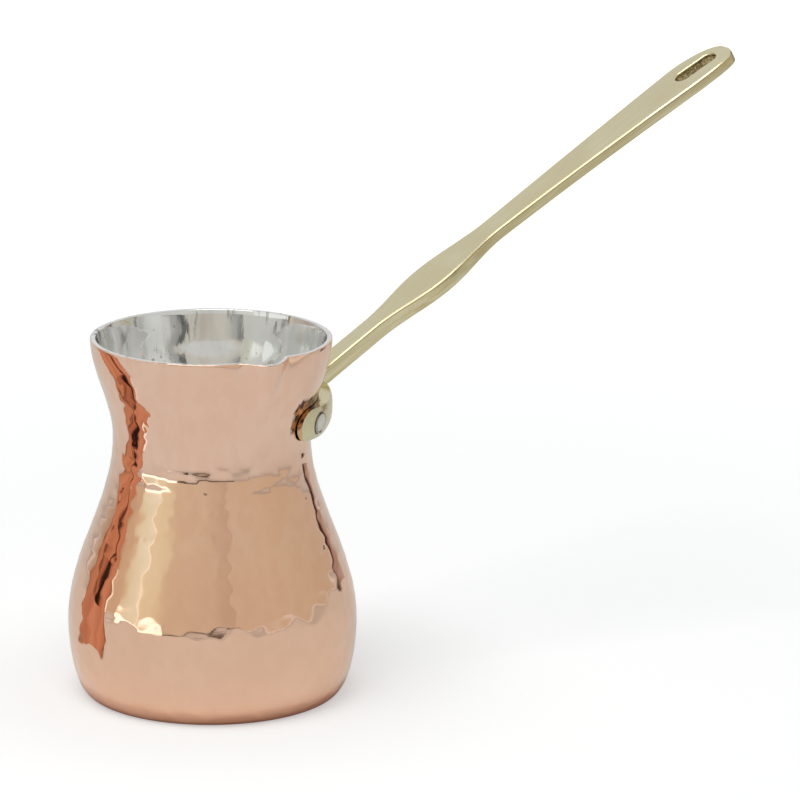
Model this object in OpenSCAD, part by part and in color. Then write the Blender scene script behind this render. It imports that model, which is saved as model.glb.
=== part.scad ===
// Hammered copper coffee pot (cezve) with a tinned inside, a pressed spout and a long brass handle.
// The origin is the centre of the base, +Z is up, the handle points to +X and the spout to -Y.

/* [Pot] */
// Height from the base to the rim
pot_h = 91; // [80:1:104]
// Outside diameter of the rim
rim_d = 60; // [54:1:70]
// Outside diameter of the neck at its narrowest
neck_d = 49.4; // [44:0.2:53]
// Height of the narrowest place above the base
neck_h = 66; // [58:1:72]
// Outside diameter of the belly at its widest
belly_d = 72.6; // [66:0.2:84]
// Height of the widest place above the base
belly_h = 18.5; // [14:0.5:26]
// Diameter of the flat that the pot stands on
base_d = 61; // [50:0.5:64]
// Thickness of the copper sheet
copper_t = 1.4; // [1:0.1:1.8]
// Thickness of the tin on the inside and over the rim
tin_t = 0.2; // [0.1:0.05:0.4]

/* [Spout] */
// Width of the pressed lip between its two folds
spout_w = 13; // [10:0.5:17]
// How far the lip stands out past the rim
spout_reach = 3.5; // [2:0.25:5]
// How far down the wall the folds run
spout_depth = 13; // [10:0.5:16]

/* [Handle] */
// Length of the handle along its top, from the pot to the tip
handle_l = 142; // [110:1:170]
// Distance of the handle's top below the rim where it meets the pot
handle_drop = 13; // [11:0.5:16]
// Rise of the handle above level at the pot
handle_rise = 32.5; // [24:0.5:40]
// How much the rise flattens towards the tip, in degrees
handle_bend = 3; // [0:0.5:8]
// Width where the handle leaves the pot
root_w = 6.4; // [5:0.2:9]
// Thickness where the handle leaves the pot
root_t = 4.1; // [3:0.1:5.5]
// Width of the leaf
leaf_w = 13.4; // [10:0.2:18]
// Distance of the leaf's widest place from the pot
leaf_at = 41; // [34:1:48]
// Thickness of the leaf
leaf_t = 3.8; // [2.6:0.1:5]
// Width of the waist past the leaf
waist_w = 8.2; // [6:0.2:10]
// Distance of the waist from the pot
waist_at = 62; // [58:1:72]
// Thickness of the waist
waist_t = 2.9; // [2.2:0.1:4]
// Width of the broad end
end_w = 14.6; // [12:0.2:18]
// Thickness of the broad end
end_t = 3; // [2.2:0.1:4]
// Length of the rounding at the tip
tip_l = 14; // [12:0.5:20]
// Width of the hanging eye
eye_w = 5.2; // [4.6:0.1:6.4]
// Length of the hanging eye
eye_l = 10.6; // [9:0.2:14]
// Metal left between the eye and the tip
eye_wall = 4.4; // [2.6:0.1:5]

/* [Bracket] */
// Height of the two ears that reach round the neck
ear_h = 8.4; // [7:0.2:10]
// Angle from the handle to the end of an ear
ear_reach = 61; // [58:1:72]
// Thickness at the end of an ear
ear_t = 2.3; // [1.8:0.1:3]
// Height of the bracket under the handle
band_h = 11; // [10:0.2:13]
// Thickness of the bracket under the handle
band_t = 5.6; // [4.5:0.1:7]
// Distance from the handle's top, at the pot, down to the middle of the bracket
band_below = 7; // [6:0.25:8]

/* [Rivets] */
// Diameter of a rivet
rivet_d = 5.2; // [4:0.1:6]
// Angle from the handle to a rivet
rivet_angle = 45; // [38:0.5:50]
// Diameter of the head inside the pot
head_d = 8; // [7:0.1:9.5]
// Height of the head inside the pot
head_h = 1.1; // [0.8:0.1:1.6]
// How far the closed end stands out of the ear
tail_h = 0.35; // [0.2:0.05:0.8]

/* [Fits] */
// Play between the bracket and the pot
seat_play = 0.08; // [0.04:0.02:0.2]
// Play round a rivet in its holes
rivet_play = 0.05; // [0.02:0.01:0.1]

/* [Hidden] */
$fn = 96;

wall_t = copper_t + tin_t;
// Height above the base of the middle of the bracket and its rivets
band_z = pot_h - handle_drop - band_below;
// Length of anything that only has to reach past the surfaces it cuts
over = 12;
// Number of straight steps along each curve of the pot's outline
curve_steps = 10;
// How far surfaces are sunk past each other where two shapes become one
sink = 0.3;

// Smooth change from a to b as t goes from 0 to 1
function ease(a, b, t) = a + (b - a) * (1 - cos(180 * t)) / 2;

// Radius of the pot at height z, for a shape that lies inset inside the outside
function flare_r(z, inset) =
    ease(neck_d / 2, rim_d / 2, (z - neck_h) / (pot_h - neck_h)) - inset;
function shoulder_r(z, inset) =
    ease(belly_d / 2, neck_d / 2, (z - belly_h) / (neck_h - belly_h)) - inset;
function pot_r(z, inset = 0) =
    z > neck_h ? flare_r(z, inset) : shoulder_r(max(z, belly_h), inset);

// Half outline of the pot from its axis along the floor and up to the height top
function pot_outline(inset, top = pot_h) = concat(
    [[0, inset]],
    [for (i = [0 : curve_steps]) let (a = 90 * i / curve_steps)
        [base_d / 2 - inset + (belly_d - base_d) / 2 * sin(a),
         inset + (belly_h - inset) * (1 - cos(a))]],
    [for (i = [1 : 2 * curve_steps])
        let (z = belly_h + (neck_h - belly_h) * i / (2 * curve_steps)) [pot_r(z, inset), z]],
    [for (i = [1 : curve_steps])
        let (z = min(top, neck_h + (pot_h - neck_h) * i / curve_steps)) [pot_r(z, inset), z]]);

function reversed(list) = [for (i = [len(list) - 1 : -1 : 0]) list[i]];

// Solid of revolution inside the pot's outside, less the inset, up to the height top
module turned(inset, top) {
    rotate_extrude()
        polygon(concat(pot_outline(inset), [[pot_r(pot_h, inset), top], [0, top]]));
}

// The lip is a cone that leans out of the neck, cut square across its mouth
lip_r = spout_w / 2;
// Distance from the pot's axis to the middle of the lip's mouth
lip_out = rim_d / 2 + spout_reach - lip_r;
// The cone's lower end stays inside the wall
lip_low_r = lip_r / 2;
lip_low_out = pot_r(pot_h - spout_depth) - lip_low_r - sink;
lip_lean = atan((lip_out - lip_low_out) / spout_depth);
lip_l = spout_depth / cos(lip_lean);
// The mouth is level with the rim where the lip leaves it
lip_lift = (rim_d / 2 - lip_out) * sin(lip_lean);

// The cone, from a distance above its lower end to a distance beyond its mouth
module lip(inset, beyond = 0, from = 0) {
    widen = (lip_r - lip_low_r) / lip_l;
    translate([0, -lip_low_out, pot_h - spout_depth + lip_lift])
        rotate([lip_lean, 0, 0])
            translate([0, 0, from])
                cylinder(h = lip_l + beyond - from,
                         r1 = lip_low_r - inset + widen * from,
                         r2 = lip_r - inset + widen * beyond);
}

// Everything inside the pot's outside, less a thickness over the rim and the mouth of the lip
module pot_solid(off_top) {
    intersection() {
        union() {
            turned(0, pot_h);
            lip(0, -off_top);
        }
        cylinder(h = pot_h - off_top, r = belly_d);
    }
}

// The space inside the pot, less a thickness, open above the rim
module pot_space(inset) {
    turned(inset, pot_h + over);
    lip(inset, over);
}

module copper_body() {
    color("#c9785a")
        difference() {
            pot_solid(tin_t);
            pot_space(copper_t);
            rivet_holes();
        }
}

// The turned part of the lining, from the floor up the wall and out over the rim, a little too high
module lining_shell() {
    rotate_extrude()
        polygon(concat(
            pot_outline(copper_t, pot_h - tin_t),
            [[pot_r(pot_h - tin_t), pot_h - tin_t],
             [pot_r(pot_h), pot_h],
             [pot_r(pot_h), pot_h + sink],
             [pot_r(pot_h, wall_t), pot_h + sink]],
            reversed(pot_outline(wall_t))));
}

// The lining of the lip, still solid, with the edge that goes over its mouth.
// It runs into the turned part by half its thickness.
module lining_lip() {
    difference() {
        union() {
            lip(copper_t);
            lip(0, 0, lip_l - tin_t);
        }
        turned(copper_t + tin_t / 2, pot_h + over);
    }
}

module tin_lining() {
    color("#cfcfcb")
        difference() {
            intersection() {
                union() {
                    lining_shell();
                    lining_lip();
                }
                cylinder(h = pot_h, r = belly_d);
            }
            lip(wall_t, over);
            rivet_holes();
        }
}

// Places its children at the middle of the bracket, pointing straight out at an angle from the handle
module at_neck(angle) {
    translate([0, 0, band_z])
        rotate([0, 0, angle])
            rotate([0, 90, 0])
                children();
}

module rivet_holes() {
    for (side = [-1, 1])
        at_neck(side * rivet_angle)
            cylinder(h = belly_d, r = rivet_d / 2 + rivet_play);
}

// --- Bracket: a cast band with a round outer face, thickest under the handle ---

neck_r = pot_r(band_z);
// The outer face is a cylinder that sits off the pot's axis, towards the handle
face_shift = (band_t - ear_t) / (1 - cos(ear_reach));
face_r = neck_r + band_t - face_shift;
// Angle to the middle of an ear's round end
ear_angle = ear_reach - asin(ear_h / 2 / neck_r);
// The bracket keeps its full height this far past the handle's sides, then slants to an ear's height
full_past = 3;
slant_l = 10;
run_out = root_w / 2 + full_past + slant_l;
slant = (band_h - ear_h) / 2 / slant_l;
// The slant runs on a little way inside the ears, and past the full height in the middle
run_past = 3;
run_end = run_out + run_past;
end_half = ear_h / 2 - run_past * slant;
peak = ear_h / 2 + run_out * slant;

function face_at(angle) =
    face_shift * cos(angle) + sqrt(pow(face_r, 2) - pow(face_shift * sin(angle), 2));

// Half profile of the band about its own axis: full in the middle, well rounded below, crisp above
lower_in = band_h / 4;
lower_up = 0.42 * band_h;
upper_in = 0.6;
upper_up = band_h / 4;
face_profile = concat(
    [[0, band_h / 2], [0, -band_h / 2]],
    [for (a = [0 : 15 : 90])
        [face_r - lower_in * (1 - sin(a)), -band_h / 2 + lower_up * (1 - cos(a))]],
    [for (t = [0 : 0.5 : 1])
        [face_r - upper_in * pow(t, 2), band_h / 2 - upper_up * (1 - t)]]);

module ear_shape() {
    rotate([0, 0, -ear_angle])
        rotate_extrude(angle = 2 * ear_angle)
            translate([neck_r / 2, -ear_h / 2])
                square([neck_r, ear_h]);
    for (side = [-1, 1])
        rotate([0, 0, side * ear_angle])
            translate([neck_r / 2, 0, 0])
                rotate([0, 90, 0])
                    cylinder(h = neck_r, r = ear_h / 2);
    rotate([90, 0, 90])
        linear_extrude(height = 2 * neck_r)
            polygon([[-run_end, -end_half], [0, -peak], [run_end, -end_half],
                     [run_end, end_half], [0, peak], [-run_end, end_half]]);
}

module band() {
    translate([0, 0, band_z])
        intersection() {
            translate([face_shift, 0, 0])
                rotate_extrude()
                    polygon(face_profile);
            ear_shape();
        }
}

// --- Handle: a bar with a leaf, a waist and a broad rounded end ---

root_x = pot_r(pot_h - handle_drop);
root_z = pot_h - handle_drop;
// Radius of the long curve that the handle's top follows, kept finite for a straight handle
least_bend = 0.01;
bend_r = handle_l / (handle_bend + least_bend) * 180 / PI;
// Distance that the bar runs on into the pot before it is cut off at the pot's surface
tuck = 8;
mean_rise = handle_rise - handle_bend / 2;
tip_from = handle_l - tip_l;
// The bar stays straight up to here, then swells to the leaf
leaf_from = leaf_at / 2;
// How the broad end widens from the waist: 1 is straight, more is hollow
hollow = 1.2;

function rise_at(s) = handle_rise - handle_bend * s / handle_l;

// Point on the top of the handle at distance s from the pot, dropped by a thickness
function top_point(s, down = 0) =
    [root_x + bend_r * (sin(handle_rise) - sin(rise_at(s))) + down * sin(rise_at(s)),
     root_z + bend_r * (cos(rise_at(s)) - cos(handle_rise)) - down * cos(rise_at(s))];

function bar_t(s) =
    s < leaf_at ? ease(root_t, leaf_t, max(s, 0) / leaf_at) :
    s < waist_at ? ease(leaf_t, waist_t, (s - leaf_at) / (waist_at - leaf_at)) :
    ease(waist_t, end_t, (s - waist_at) / (handle_l - waist_at));

// Half width at distance s; fullness is 2 for an elliptical tip and more for a squarer one
function bar_half(s, fullness) =
    s < leaf_from ? root_w / 2 :
    s < leaf_at ? ease(root_w, leaf_w, (s - leaf_from) / (leaf_at - leaf_from)) / 2 :
    s < waist_at ? ease(leaf_w, waist_w, (s - leaf_at) / (waist_at - leaf_at)) / 2 :
    s < tip_from ? (waist_w + (end_w - waist_w) * pow((s - waist_at) / (tip_from - waist_at), hollow)) / 2 :
    end_w / 2 * pow(max(0, 1 - pow((s - tip_from) / tip_l, fullness)), 1 / fullness);

// Distances along the bar at which its plan turns
plan_steps = 8;
bar_stations = concat(
    [-tuck, leaf_from],
    [for (i = [1 : plan_steps]) leaf_from + (leaf_at - leaf_from) * i / plan_steps],
    [for (i = [1 : plan_steps]) leaf_at + (waist_at - leaf_at) * i / plan_steps],
    [for (i = [1 : plan_steps]) waist_at + (tip_from - waist_at) * i / plan_steps],
    [for (i = [1 : plan_steps]) tip_from + tip_l * sin(90 * i / (plan_steps + 1))]);

// The tip is filed rounder at the back than at the front
front_fullness = 4;
back_fullness = 2;

module bar_plan() {
    back = [for (s = bar_stations) [s, bar_half(s, back_fullness)]];
    front = [for (i = [len(bar_stations) - 1 : -1 : 0])
        [bar_stations[i], -bar_half(bar_stations[i], front_fullness)]];
    polygon(concat(back, [[handle_l, 0]], front));
}

module bar_side() {
    side_steps = 12;
    places = [for (i = [0 : side_steps]) -tuck + (handle_l + 2 * tuck) * i / side_steps];
    polygon(concat(
        [for (s = places) top_point(s)],
        [for (i = [side_steps : -1 : 0]) top_point(places[i], bar_t(places[i]))]));
}

// Turns its children into the plane that the handle lies in, with X along the bar
module along_bar() {
    translate([root_x, 0, root_z])
        rotate([0, -mean_rise, 0])
            children();
}

module eye() {
    first = handle_l - eye_wall - eye_l + eye_w / 2;
    last = handle_l - eye_wall - eye_w / 2;
    along_bar()
        translate([0, 0, -over]) {
            for (s = [first, last])
                translate([s, 0, 0])
                    cylinder(h = 2 * over, r = eye_w / 2);
            translate([first, -eye_w / 2, 0])
                cube([last - first, eye_w, 2 * over]);
        }
}

module bar() {
    intersection() {
        along_bar()
            translate([0, 0, -2 * over])
                linear_extrude(height = 4 * over)
                    bar_plan();
        rotate([90, 0, 0])
            linear_extrude(height = 4 * over, center = true)
                bar_side();
    }
}

module handle() {
    color("#cfc389")
        difference() {
            union() {
                band();
                bar();
            }
            turned(-seat_play, pot_h);
            eye();
            rivet_holes();
        }
}

// --- Rivets: a round head inside the pot, a shank through wall and ear, a closed end outside ---

module rivet(side) {
    tail_end = face_at(rivet_angle) + tail_h;
    inner_r = pot_r(band_z, wall_t);
    chamfer = 0.3;
    color("#c8c6c0") {
        at_neck(side * rivet_angle)
            rotate_extrude()
                polygon([[0, inner_r - head_h / 2], [rivet_d / 2, inner_r - head_h / 2],
                         [rivet_d / 2, tail_end - chamfer],
                         [rivet_d / 2 - chamfer, tail_end], [0, tail_end]]);
        intersection() {
            at_neck(side * rivet_angle)
                rotate_extrude()
                    polygon([[0, inner_r - head_h], [head_d / 2 - head_h / 2, inner_r - head_h],
                             [head_d / 2, inner_r - head_h / 2], [head_d / 2, inner_r + head_h],
                             [0, inner_r + head_h]]);
            turned(wall_t + seat_play, pot_h);
        }
    }
}

module rivet_front() {
    rivet(-1);
}

module rivet_back() {
    rivet(1);
}

copper_body();
tin_lining();
handle();
rivet_front();
rivet_back();
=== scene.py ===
"""A hammered copper coffee pot with a tinned inside, a pressed spout and a long cast brass handle.

Lengths are in metres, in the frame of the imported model: the base stands on z = 0, the handle points to +X
and the spout to -Y. Angles are in degrees, and angles round the pot are counted from the handle.
"""

import math
import random

import bpy
from mathutils import Matrix, Vector, kdtree, noise


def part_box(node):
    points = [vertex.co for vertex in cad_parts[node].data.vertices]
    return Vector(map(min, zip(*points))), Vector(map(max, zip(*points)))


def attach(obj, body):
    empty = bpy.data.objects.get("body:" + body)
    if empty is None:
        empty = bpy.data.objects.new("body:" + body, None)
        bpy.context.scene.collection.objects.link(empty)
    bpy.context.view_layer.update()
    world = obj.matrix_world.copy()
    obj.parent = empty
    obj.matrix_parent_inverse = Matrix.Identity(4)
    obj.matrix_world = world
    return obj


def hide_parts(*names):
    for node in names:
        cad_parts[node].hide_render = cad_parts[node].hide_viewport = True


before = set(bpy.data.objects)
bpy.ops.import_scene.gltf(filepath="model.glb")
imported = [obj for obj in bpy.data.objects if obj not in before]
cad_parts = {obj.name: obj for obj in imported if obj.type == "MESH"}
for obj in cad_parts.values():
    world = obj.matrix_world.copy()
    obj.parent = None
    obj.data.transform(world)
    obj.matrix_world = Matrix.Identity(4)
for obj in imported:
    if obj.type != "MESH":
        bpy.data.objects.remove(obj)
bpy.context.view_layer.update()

MM = 0.001
MERGE = 0.01 * MM


# --- Sizes ---

# Pot
POT_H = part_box("tin_lining")[1].z
BELLY_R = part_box("copper_body")[1].x - 0.01 * MM
RIM_R = 30 * MM
NECK_R = 24.7 * MM
NECK_H = 66 * MM
BELLY_H = 18.5 * MM
BASE_R = 30.5 * MM
COPPER_T = 1.4 * MM
TIN_T = 0.2 * MM
WALL_T = COPPER_T + TIN_T
CORNER_L = 24 * MM
FLAT_STEPS = 12

# Fineness of the turned pieces: length of a step along the outline, and sides all round
COPPER_STEP = 0.52 * MM
TIN_STEP = 0.75 * MM
BACK_STEP = 3 * MM
COPPER_SIDES = 380
TIN_SIDES = 300

# Where the copper's inner face lies, out of sight behind the tin
COPPER_BACK = COPPER_T * 0.75
COPPER_BACK_TOP = 0.21 * MM
TIN_OFF_COPPER = 0.02 * MM

# The lining narrows a little, then opens in a straight slant up to the rim
FLARE_EASES_FROM = 70 * MM
FLARE_EASE_START = 72 * MM
FLARE_EASE_H = 10 * MM
FLARE_FROM = 86 * MM
FLARE_IN = 0.25 * MM
FLARE = 0.2

# Rims of the copper and of the tin: distance in from the rim's edge, and down from its top, in millimetres
COPPER_RIM = [(0.03, 0.18), (0.1, 0.11), (0.2, 0.09)]
TIN_RIM = [(0.2, 0.07), (0.23, 0.04), (0.3, 0.01), (0.5, 0), (1.05, 0), (1.22, 0.04), (1.32, 0.14),
           (1.36, 0.3)]

# Pressed spout
SPOUT_AT = -90
SPOUT_HALF = 6.3 * MM
SPOUT_REACH = 3.1 * MM
SPOUT_DEPTH = 13.5 * MM
SPOUT_DIP = 0.2 * MM
SPOUT_TAPER = 1.35
SPOUT_FULLNESS = 0.35
SPOUT_NARROWING = 0.45
DIP_ENDS = 1 / 3
PINCH = 1.1 * MM
PINCH_TAPER = 3
PINCH_RIGHT = 1.1
PINCH_LEFT = 0.5

# Places across the lip, in shares of its half width
LIP_FLAT_TO = 0.12
LIP_TO = 1.04
FOLD_FROM = 0.82
FOLD_DEEPEST = 1.16
FOLD_TO = 2.26
SPOUT_ENDS = 4

# Hammer marks
MARK_SEED = 11
MARK_PITCH = 3.4 * MM
MARKS_FROM = 1 * MM
SCATTER_ROUND = 0.3
SCATTER_UP = 0.35
VIGOUR = 1.4
VIGOUR_SCALE = 45
CURVE_UP = 17
CURVE_ROUND = 10
CURVE_LEAST = 0.6
CURVE_MOST = 1.1
MARK_DEPTH = 0.035 * MM
SHALLOWER = 0.5
TILT_UP = 0.055
TILT_ROUND = 0.045
DEEP_MARKS = 0.05
DEEP_CURVE = 2.5
DEEPER = 0.6
DEEPEST = 0.13 * MM
SOFT_RIDGE = 0.006 * MM
NEIGHBOURS = 5

# The marks fade out below the rim and above the base
FADE_FROM = 9 * MM
FADE_TOP_H = 8 * MM
FADE_BASE_H = 2 * MM

# Handle
HANDLE_L = 142 * MM
HANDLE_DROP = 13 * MM
HANDLE_RISE = 32.5
HANDLE_BEND = 3
ROOT_W = 6.4 * MM
ROOT_T = 4.1 * MM
LEAF_W = 13.4 * MM
LEAF_AT = 41 * MM
LEAF_T = 3.8 * MM
WAIST_W = 8.2 * MM
WAIST_AT = 62 * MM
WAIST_T = 2.9 * MM
END_W = 14.6 * MM
END_T = 3 * MM
TIP_L = 14 * MM
TIP_FROM = HANDLE_L - TIP_L
LEAF_FROM = LEAF_AT / 2
WIDENING = 1.2
TUCK = 6 * MM
EYE_W = 4.9 * MM
EYE_L = 12.6 * MM
EYE_WALL = 3.4 * MM
EYE_TURN = 4
EYE_EDGE = 0.2 * MM
FILED = 0.3 * MM
FILED_SOFT = 0.12 * MM

# The tip is filed rounder at the back than at the front
FRONT_FULLNESS = 4
BACK_FULLNESS = 2

# Bracket
EAR_H = 8.4 * MM
EAR_REACH = 61
EAR_T = 2.3 * MM
BAND_H = 11 * MM
BAND_T = 5.6 * MM
LOWER_IN = 4.3 * MM
LOWER_UP = 6.6 * MM
UPPER_IN = 0.6 * MM
UPPER_UP = BAND_H / 4
BAND_Z = POT_H - HANDLE_DROP - 7 * MM
BAND_FULL = ROOT_W / 2 + 3 * MM
BAND_SLOPE_L = 10 * MM
BAND_SOFT = 0.45 * MM
SEAT_PLAY = 0.08 * MM
EAR_GAP = 0.6 * MM
EAR_GAP_FROM = 0.9
EAR_GAP_OVER = 0.15

# Heat tarnish round the ears, darkened further with painted shade from the bracket
TARNISH_AND_SHADE_TO = math.radians(EAR_REACH) * NECK_R - 0.5 * MM
TARNISH_AND_SHADE_UP = 4.6 * MM
TARNISH_AND_SHADE_R = 3 * MM
TARNISH_AND_SHADE_WAVE = 3.5 * MM

# Rivets
RIVET_R = 2.6 * MM
RIVET_ANGLE = 45
HEAD_R = 4 * MM
HEAD_H = 1.1 * MM
HEAD_EDGE = 0.4 * MM
TAIL_H = 0.15 * MM
TAIL_FOLLOWS = 0.25 * MM
TAIL_EDGE = [(0, 0.3), (0.04, 0.1), (0.14, 0.02), (0.3, 0)]
RIVET_SIDES = 64


# --- Small helpers ---

def ease(a, b, t):
    """Smooth change from a to b as t goes from 0 to 1."""
    t = min(max(t, 0), 1)
    return a + (b - a) * (1 - math.cos(math.pi * t)) / 2


def ramp(a, b, t):
    """Straight change from a to b as t goes from 0 to 1."""
    return a + (b - a) * min(max(t, 0), 1)


def pot_r(z):
    """Radius of the pot's outside at height z, above the belly."""
    if z > NECK_H:
        return ease(NECK_R, RIM_R, (z - NECK_H) / (POT_H - NECK_H))
    return ease(BELLY_R, NECK_R, (max(z, BELLY_H) - BELLY_H) / (NECK_H - BELLY_H))


def start(add, **settings):
    """Adds a primitive with nothing else selected, and goes into edit mode on it."""
    bpy.ops.object.select_all(action="DESELECT")
    add(**settings)
    bpy.ops.object.mode_set(mode="EDIT")
    return bpy.context.active_object


def finish(piece, name, smooth_angle=180):
    """Leaves edit mode, names the piece and shades it smooth."""
    bpy.ops.object.mode_set(mode="OBJECT")
    piece.name = name
    piece.data.name = name
    bpy.ops.object.transform_apply(location=True, rotation=True, scale=True)
    bpy.ops.object.shade_smooth_by_angle(angle=math.radians(smooth_angle))
    return piece


def modify(piece, kind, **settings):
    """Adds a modifier to a piece and applies it."""
    bpy.ops.object.select_all(action="DESELECT")
    piece.select_set(True)
    bpy.context.view_layer.objects.active = piece
    modifier = piece.modifiers.new(kind.lower(), kind)
    for setting, value in settings.items():
        setattr(modifier, setting, value)
    bpy.ops.object.modifier_apply(modifier=modifier.name)


def draw(points):
    """Starts a piece as one vertex at the first point and extrudes it from point to point."""
    piece = start(bpy.ops.mesh.primitive_plane_add, size=MM, location=points[0])
    bpy.ops.mesh.merge(type="CENTER")
    for here, there in zip(points, points[1:]):
        bpy.ops.mesh.extrude_region_move(TRANSFORM_OT_translate={"value": there - here})
    return piece


def turn(name, outline, sides, smooth_angle=180):
    """Spins an outline of (radius, height) points round the upright axis into a closed piece."""
    piece = draw([Vector((r, 0, z)) for r, z in outline])
    bpy.ops.mesh.select_all(action="SELECT")
    bpy.ops.mesh.spin(steps=sides, angle=2 * math.pi, center=(0, 0, 0), axis=(0, 0, 1))
    bpy.ops.mesh.select_all(action="SELECT")
    bpy.ops.mesh.remove_doubles(threshold=MERGE)
    bpy.ops.mesh.normals_make_consistent(inside=False)
    return finish(piece, name, smooth_angle)


# --- Camera ---

CAMERA_AT = -27
CAMERA_RISE = 13.7026
CAMERA_AWAY = 1.23088
CAMERA_TURN = 2.2422
CAMERA_DOWN = 14.44
CAMERA_ROLL = 0.2786
LENS = 223.63
SENSOR = 36


def add_camera():
    """A long lens a little above the rim, in front and to the left of the handle."""
    heading = math.radians(CAMERA_AT)
    flat = CAMERA_AWAY * math.cos(math.radians(CAMERA_RISE))
    place = Vector((flat * math.sin(heading), -flat * math.cos(heading),
                    POT_H + CAMERA_AWAY * math.sin(math.radians(CAMERA_RISE))))
    bpy.ops.object.camera_add()
    camera = bpy.context.active_object
    camera.name = "camera"
    camera.data.lens = LENS
    camera.data.sensor_width = SENSOR
    camera.matrix_world = (
        Matrix.Translation(place)
        @ Matrix.Rotation(heading - math.radians(CAMERA_TURN), 4, "Z")
        @ Matrix.Rotation(math.radians(90 - CAMERA_DOWN), 4, "X")
        @ Matrix.Rotation(math.radians(CAMERA_ROLL), 4, "Z"))
    bpy.context.scene.camera = camera


add_camera()
bpy.context.scene.view_settings.view_transform = "Standard"


# --- Finishes ---

class Socket:
    """One output of a node, which can be added, multiplied and so on like a number."""

    def __init__(self, paint, link):
        self.paint = paint
        self.link = link

    def math(self, operation, *values):
        return self.paint.node("ShaderNodeMath", {"operation": operation}, dict(enumerate(values)))

    def unsigned(self):
        return self.math("ABSOLUTE", self)

    def __add__(self, other):
        return self.math("ADD", self, other)

    __radd__ = __add__

    def __mul__(self, other):
        return self.math("MULTIPLY", self, other)

    __rmul__ = __mul__

    def __sub__(self, other):
        return self.math("SUBTRACT", self, other)

    def __rsub__(self, other):
        return self.math("SUBTRACT", other, self)

    def __truediv__(self, other):
        return self.math("DIVIDE", self, other)

    def __rtruediv__(self, other):
        return self.math("DIVIDE", other, self)

    def __pow__(self, other):
        return self.math("POWER", self, other)

    def __rpow__(self, other):
        return self.math("POWER", other, self)

    def between(self, low, high):
        """0 below low, 1 above high, and smooth from one to the other."""
        return self.paint.node("ShaderNodeMapRange", {"interpolation_type": "SMOOTHSTEP"},
                               {"Value": self, "From Min": low, "From Max": high})


class Paint:
    """A material or the world, with its nodes made by one method."""

    def __init__(self, owner):
        owner.use_nodes = True
        self.owner = owner
        self.tree = owner.node_tree
        self.tree.nodes.clear()

    def node(self, kind, settings=None, inputs=None, output=0):
        made = self.tree.nodes.new(kind)
        for name, value in (settings or {}).items():
            if name == "stops":
                elements = made.color_ramp.elements
                while len(elements) < len(value):
                    elements.new(0.5)
                for element, (position, shade) in zip(elements, value):
                    element.position = position
                    element.color = (*shade, 1)
            else:
                setattr(made, name, value)
        for name, value in (inputs or {}).items():
            if isinstance(value, Socket):
                self.tree.links.new(value.link, made.inputs[name])
            else:
                made.inputs[name].default_value = value
        return Socket(self, made.outputs[output]) if made.outputs else None

    def place(self):
        return self.node("ShaderNodeTexCoord", output="Object")

    def along(self, axis):
        return self.node("ShaderNodeSeparateXYZ", {}, {"Vector": self.place()}, output=axis)

    def height(self):
        return self.along("Z")

    def away(self):
        """Distance from the upright axis."""
        return (self.along("X") ** 2 + self.along("Y") ** 2) ** 0.5

    def stretched(self, *scale):
        """The place, with a pattern on it drawn out along each axis whose scale is under 1."""
        return self.node("ShaderNodeMapping", {}, {"Vector": self.place(), "Scale": scale})

    def noise(self, where, scale, detail=3, roughness=0.5):
        inputs = {"Vector": where, "Scale": scale, "Detail": detail, "Roughness": roughness}
        return self.node("ShaderNodeTexNoise", {}, inputs)

    def round_rivet(self):
        """How far a place lies from the nearer rivet's axis, towards the ear's end and in all."""
        aside = (self.along("Y").unsigned() - self.along("X")) * math.sin(math.radians(RIVET_ANGLE))
        return aside, (aside ** 2 + (self.height() - BAND_Z) ** 2) ** 0.5

    def mix(self, factor, a, b):
        """From colour a to colour b."""
        return self.node("ShaderNodeMix", {"data_type": "RGBA"}, {0: factor, 6: a, 7: b}, output=2)

    def bump(self, height, strength, distance, normal=None):
        inputs = {"Height": height, "Strength": strength, "Distance": distance}
        if normal is not None:
            inputs["Normal"] = normal
        return self.node("ShaderNodeBump", {}, inputs)

    def metal(self, colour, roughness, normal=None, **constants):
        inputs = {"Base Color": colour, "Roughness": roughness, "Metallic": 1, **constants}
        if normal is not None:
            inputs["Normal"] = normal
        shader = self.node("ShaderNodeBsdfPrincipled", {}, inputs)
        self.node("ShaderNodeOutputMaterial", {}, {"Surface": shader})
        return self.owner


def paint(name):
    return Paint(bpy.data.materials.new(name))


def colour(r, g, b):
    return (r, g, b, 1)


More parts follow.
